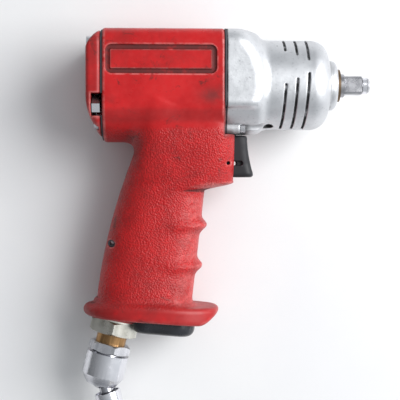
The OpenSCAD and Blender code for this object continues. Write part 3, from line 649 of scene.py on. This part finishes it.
def cast_aluminium():
    m = Paint("cast aluminium")
    tone = m.blend(m.range(m.noise(45, 5), 0.3, 0.7), (0.60, 0.61, 0.63), (0.74, 0.75, 0.77))
    tone = m.blend(m.range(m.noise(700, 3, 0.6), 0.55, 0.75, 0, 0.5), tone, (0.42, 0.42, 0.44))
    # Dark from the grime mark: dirt in the slots, port and seam, and painted shade above the trigger.
    dirt_and_shade = m.math("MULTIPLY", m.mark("grime_and_shade"), m.range(m.noise(240, 5), 0.2, 0.55))
    tone = m.blend(dirt_and_shade, tone, (0.035, 0.034, 0.036))
    spots = m.range(m.noise(330, 4, 0.5), 0.69, 0.76, 0, 0.45)
    tone = m.blend(spots, tone, (0.20, 0.20, 0.21))
    scratch = m.noise(1.0, 4, 0.7, 0.4, m.stretched(260, 1300, 900))
    rough = m.range(m.noise(130, 5), 0.3, 0.7, 0.38, 0.50)
    rough = m.math("ADD", rough, m.math("MULTIPLY", dirt_and_shade, 0.3))
    normal = m.bump(scratch, 0.10, 0.0002)
    normal = m.bump(m.noise(520, 4, 0.6), 0.14, 0.0004, normal)
    normal = m.bump(m.noise(70, 2), 0.16, 0.0012, normal)
    metal = m.math("SUBTRACT", 0.92, m.math("MULTIPLY", dirt_and_shade, 0.6))
    return m.finish(Base_Color=tone, Roughness=rough, Normal=normal, Metallic=metal)


def plain_metal(name, light, deep, roughness, stain=(0.16, 0.14, 0.12), stain_level=0.62):
    """A machined metal with brushed lines, stains in noise patches and bright worn edges."""
    m = Paint(name)
    tone = m.blend(m.range(m.noise(160, 5), 0.3, 0.7), deep, light)
    tone = m.blend(m.range(m.noise(90, 6, 0.65), stain_level, stain_level + 0.14, 0, 0.6), tone, stain)
    tone = m.blend(m.edge(0.52, 0.60), tone, tuple(min(1.0, 1.25 * c) for c in light))
    lines = m.noise(1.0, 3, 0.6, 0.0, m.stretched(1400, 1400, 300))
    rough = m.range(m.noise(240, 4), 0.3, 0.7, roughness, roughness + 0.13)
    normal = m.bump(lines, 0.08, 0.0002)
    normal = m.bump(m.noise(900, 3), 0.08, 0.0002, normal)
    return m.finish(Base_Color=tone, Roughness=rough, Normal=normal, Metallic=0.95)


def soft_black(name, tone_low, tone_high, roughness, grain_scale=900.0):
    """Black plastic or rubber with dust, fine grain and dull patches."""
    m = Paint(name)
    tone = m.blend(m.range(m.noise(80, 5), 0.3, 0.7), tone_low, tone_high)
    tone = m.blend(m.range(m.noise(300, 5, 0.7), 0.62, 0.84, 0, 0.25), tone, (0.09, 0.085, 0.085))
    tone = m.blend(m.edge(0.54, 0.64), tone, (0.07, 0.07, 0.08))
    rough = m.range(m.noise(150, 5), 0.3, 0.7, roughness, roughness + 0.16)
    normal = m.bump(m.noise(grain_scale, 3), 0.12, 0.0002)
    normal = m.bump(m.noise(90, 2), 0.10, 0.0006, normal)
    return m.finish(Base_Color=tone, Roughness=rough, Normal=normal)


RED = red_shell()
ALUMINIUM = cast_aluminium()
STEEL = plain_metal("ground steel", (0.50, 0.50, 0.52), (0.34, 0.34, 0.36), 0.24)
CHROME = plain_metal("worn chrome", (0.66, 0.66, 0.69), (0.44, 0.44, 0.48), 0.15, (0.16, 0.15, 0.16), 0.60)
NICKEL = plain_metal("dull nickel", (0.66, 0.64, 0.58), (0.42, 0.40, 0.32), 0.26, (0.16, 0.13, 0.08), 0.56)
BRASS = plain_metal("brass", (0.40, 0.23, 0.10), (0.20, 0.10, 0.04), 0.30, (0.05, 0.03, 0.02), 0.44)
TRIGGER_BLACK = soft_black("trigger nylon", (0.006, 0.006, 0.009), (0.012, 0.012, 0.016), 0.50)
GLOSS_BLACK = soft_black("deflector nylon", (0.010, 0.011, 0.014), (0.024, 0.026, 0.032), 0.17)
RUBBER = soft_black("rubber", (0.010, 0.010, 0.010), (0.026, 0.026, 0.026), 0.55)
FELT = soft_black("felt", (0.16, 0.15, 0.13), (0.30, 0.28, 0.25), 0.8, 500.0)
OIL = (0.02, 0.015, 0.01)
OILY_BRONZE = plain_metal("oily bronze", (0.16, 0.11, 0.07), (0.07, 0.05, 0.035), 0.35, OIL, 0.45)
DARK_STEEL = plain_metal("blackened steel", (0.10, 0.10, 0.11), (0.04, 0.04, 0.045), 0.35, OIL, 0.5)
VANE = soft_black("phenolic vane", (0.11, 0.06, 0.03), (0.20, 0.12, 0.06), 0.5)

SLOT_PAINT = {
    "red_housing": RED, "cast_aluminium": ALUMINIUM, "hard_steel": STEEL, "bright_chrome": CHROME,
    "nickel": NICKEL, "brass": BRASS, "bronze": BRASS, "black_plastic": TRIGGER_BLACK,
    "black_rubber": RUBBER, "vane_composite": VANE, "felt": FELT,
}

NODE_PAINT = {
    "anvil_bushing": OILY_BRONZE,
    "grip_pin": DARK_STEEL,
    "trigger_pin": DARK_STEEL,
    "grease_plug": DARK_STEEL,
}


def paint(obj, material):
    obj.data.materials.clear()
    obj.data.materials.append(material)


# --------------------------------------------------------------------- pieces


def body_name(node):
    return next(b for b, nodes in frame["record"]["behaviour"]["bodies"].items() if node in nodes)


def slot_name(node):
    return next(s["material_slot"] for s in frame["record"]["subparts"] if s["node"] == node)


def stand_for(obj, node, material):
    paint(obj, material)
    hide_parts(node)
    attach(obj, body_name(node))


def carved(name, field, node, step, material):
    low, high = span(node)
    obj = carve(name, field, low, high, step)
    stand_for(obj, node, material)
    return obj


for name, obj in frame["nodes"].items():
    paint(obj, NODE_PAINT.get(name, SLOT_PAINT[slot_name(name)]))

COARSE = 0.45

shell = carved("housing_shell", housing, "motor_housing", COARSE, RED)
p = points_of(shell)
bend = bend_of(housing, p, 0.9)
on_grip = ease((-22 - p[:, 2]) / 4) * ease((p[:, 2] + 117.5) / 3)
mark(shell, "grain", on_grip)
panel_edge = panel_border(p[:, 0], p[:, 2])
in_channel = ease((panel_edge + 3.2) / 1.2) * ease((0.6 - panel_edge) / 1.2)
in_channel = in_channel * (np.abs(p[:, 1]) > HALF_W - 2)
seams = np.maximum(ease((p[:, 0] - BARREL_X + 1.2) / 1.0), ease((BARREL_END + 0.8 - p[:, 0]) / 0.8))
seams = seams * ease((p[:, 2] + 30) / 4)
foot_line = ease(1 - np.abs(p[:, 2] + 114.2) / 2.2) * ease((-bend - 0.05) / 0.25)
on_foot = ease((-108 - p[:, 2]) / 10) * (0.28 + 0.30 * ease((-108 - p[:, 0]) / 26))
hollow = ease((-bend - 0.12) / 0.4)
# Painted shade: darkens the band under the barrel's side, where it turns down away from the light.
painted_shade_under_barrel = ease((-12.5 - p[:, 2]) / 3) * ease((p[:, 2] + 22) / 3) * (1 - on_grip) * 0.30
front_smudge = np.exp(-((p[:, 0] + 72) / 7) ** 2 - ((p[:, 2] + 7) / 4) ** 2) * 0.7
# The grime mark holds dirt and smudges, and also the painted shade under the barrel.
dirt_and_shade = [hollow, in_channel, seams * 0.9, foot_line, on_foot, front_smudge, painted_shade_under_barrel]
mark(shell, "grime_and_shade", np.maximum.reduce(dirt_and_shade))
# Painted light with wear: the valleys between the finger ridges on the grip's front side are made lighter pink.
held_side = ease((p[:, 0] - grip_front(p[:, 2]) + 13) / 6) * ease((-57 - p[:, 2]) / 4) * on_grip
worn_lit_valleys = held_side * (1 - finger_crest(p[:, 2])) * 0.6
mark(shell, "wear_and_light", np.maximum(ease((bend - 0.2) / 0.45), worn_lit_valleys))

cover_skin = carved("cover_shell", cover, "rear_cover", COARSE * 0.9, RED)
p = points_of(cover_skin)
bend = bend_of(cover, p, 0.8)
mark(cover_skin, "grain", 0 * bend)
joint_line = ease((p[:, 0] - COVER_X + 1.3) / 1.0)
mark(cover_skin, "grime_and_shade", np.maximum(np.maximum(ease((-bend - 0.1) / 0.5), joint_line) * 0.9, 0.3))
mark(cover_skin, "wear_and_light", ease((bend - 0.22) / 0.5))

case_skin = carved("hammer_case_shell", hammer_case, "hammer_case", COARSE * 0.9, ALUMINIUM)
p = points_of(case_skin)
bend = bend_of(hammer_case, p, 0.7)
in_slot = ease((CASE_R - 0.2 - np.hypot(p[:, 1], p[:, 2])) / 0.45) * (p[:, 0] < -19.8) * (p[:, 0] > -36.4)
port_wall = ease((3.0 - port_away(*p.T)) / 0.5)
seam = ease((JOINT_X + 0.9 - p[:, 0]) / 0.7)
# Painted shade: darkens the case's underside above the trigger, where its flange shades it.
painted_shade_above_trigger = ease((-18 - p[:, 2]) / 5) * ease((-50 - p[:, 0]) / 5) * ease((17 - np.abs(p[:, 1])) / 5)
hollow = ease((-bend - 0.15) / 0.4) * 0.6
mark(case_skin, "grime_and_shade", np.maximum.reduce([in_slot, port_wall, seam, painted_shade_above_trigger, hollow]))
mark(case_skin, "wear_and_light", ease((bend - 0.25) / 0.5))

carved("trigger_skin", trigger, "trigger", COARSE * 0.7, TRIGGER_BLACK)
carved("deflector_skin", deflector, "exhaust_deflector", COARSE * 0.7, GLOSS_BLACK)

# The valve spring is drawn from its own copy of the CAD mesh, in steel.

coil_low, coil_high = span("valve_spring")
coil = frame["nodes"]["valve_spring"].copy()
coil.data = coil.data.copy()
coil.name = "valve_spring_coil"
bpy.context.scene.collection.objects.link(coil)
stand_for(coil, "valve_spring", STEEL)
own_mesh(coil)

# ----------------------------------------------------------------------- stage

LOW = cad_box[0][2]


def studio_floor():
    m = Paint("pale paper floor")
    tone = m.blend(m.range(m.noise(9, 5), 0.3, 0.7), (0.80, 0.80, 0.81), (0.84, 0.84, 0.84))
    tone = m.blend(m.range(m.noise(900, 3), 0.55, 0.8, 0, 0.25), tone, (0.74, 0.74, 0.75))
    normal = m.bump(m.noise(1200, 3), 0.05, 0.0003)
    return m.finish(Base_Color=tone, Roughness=m.range(m.noise(40, 3), 0.3, 0.7, 0.6, 0.72), Normal=normal)


def flat_floor(half):
    mesh = bpy.data.meshes.new("floor")
    around = ((-half, -half), (half, -half), (half, half), (-half, half))
    corners = [(x - 0.08, y - 0.06, LOW - 0.0002) for x, y in around]
    mesh.from_pydata(corners, [], [(0, 1, 2, 3)])
    floor = bpy.data.objects.new("floor", mesh)
    bpy.context.scene.collection.objects.link(floor)
    paint(floor, studio_floor())


def aim(obj, target):
    obj.rotation_euler = (Vector(target) - obj.location).to_track_quat("-Z", "Y").to_euler()


def lamp(name, place, target, size, watts, tint=(1, 1, 1)):
    data = bpy.data.lights.new(name, "AREA")
    data.shape = "RECTANGLE"
    data.size, data.size_y = size
    data.energy = watts
    data.color = tint
    obj = bpy.data.objects.new(name, data)
    obj.location = place
    bpy.context.scene.collection.objects.link(obj)
    aim(obj, target)


def surround(level):
    world = bpy.data.worlds.new("studio")
    world.use_nodes = True
    tree = world.node_tree
    across = tree.nodes.new("ShaderNodeSeparateXYZ")
    tree.links.new(tree.nodes.new("ShaderNodeTexCoord").outputs["Generated"], across.inputs[0])
    ramp = tree.nodes.new("ShaderNodeMapRange")
    tree.links.new(across.outputs["X"], ramp.inputs["Value"])
    ramp.inputs["From Min"].default_value = -1.0
    ramp.inputs["From Max"].default_value = 0.9
    ramp.inputs["To Min"].default_value = 0.35 * level
    ramp.inputs["To Max"].default_value = 1.55 * level
    tree.links.new(ramp.outputs["Result"], tree.nodes["Background"].inputs["Strength"])
    tree.nodes["Background"].inputs["Color"].default_value = (0.92, 0.96, 1.0, 1.0)
    bpy.context.scene.world = world


MIDDLE = (-0.078, -0.062, 0.0)
flat_floor(3.0)
lamp("key", (0.75, 0.20, 0.80), MIDDLE, (0.9, 0.9), 17)
surround(0.50)
bpy.context.scene.view_settings.view_transform = "Standard"

camera = bpy.data.objects.new("camera", bpy.data.cameras.new("camera"))
camera.data.lens = 94.0
camera.data.sensor_width = 36.0
camera.location = (-0.0990, -0.0606, 0.551)
bpy.context.scene.collection.objects.link(camera)
look = Vector((-0.0772, -0.0606, 0.0)) - camera.location
back = -look.normalized()
right = Vector((0, 1, 0)).cross(back).normalized()
up = back.cross(right)
camera.rotation_euler = Matrix((right, up, back)).transposed().to_euler()
bpy.context.scene.camera = camera
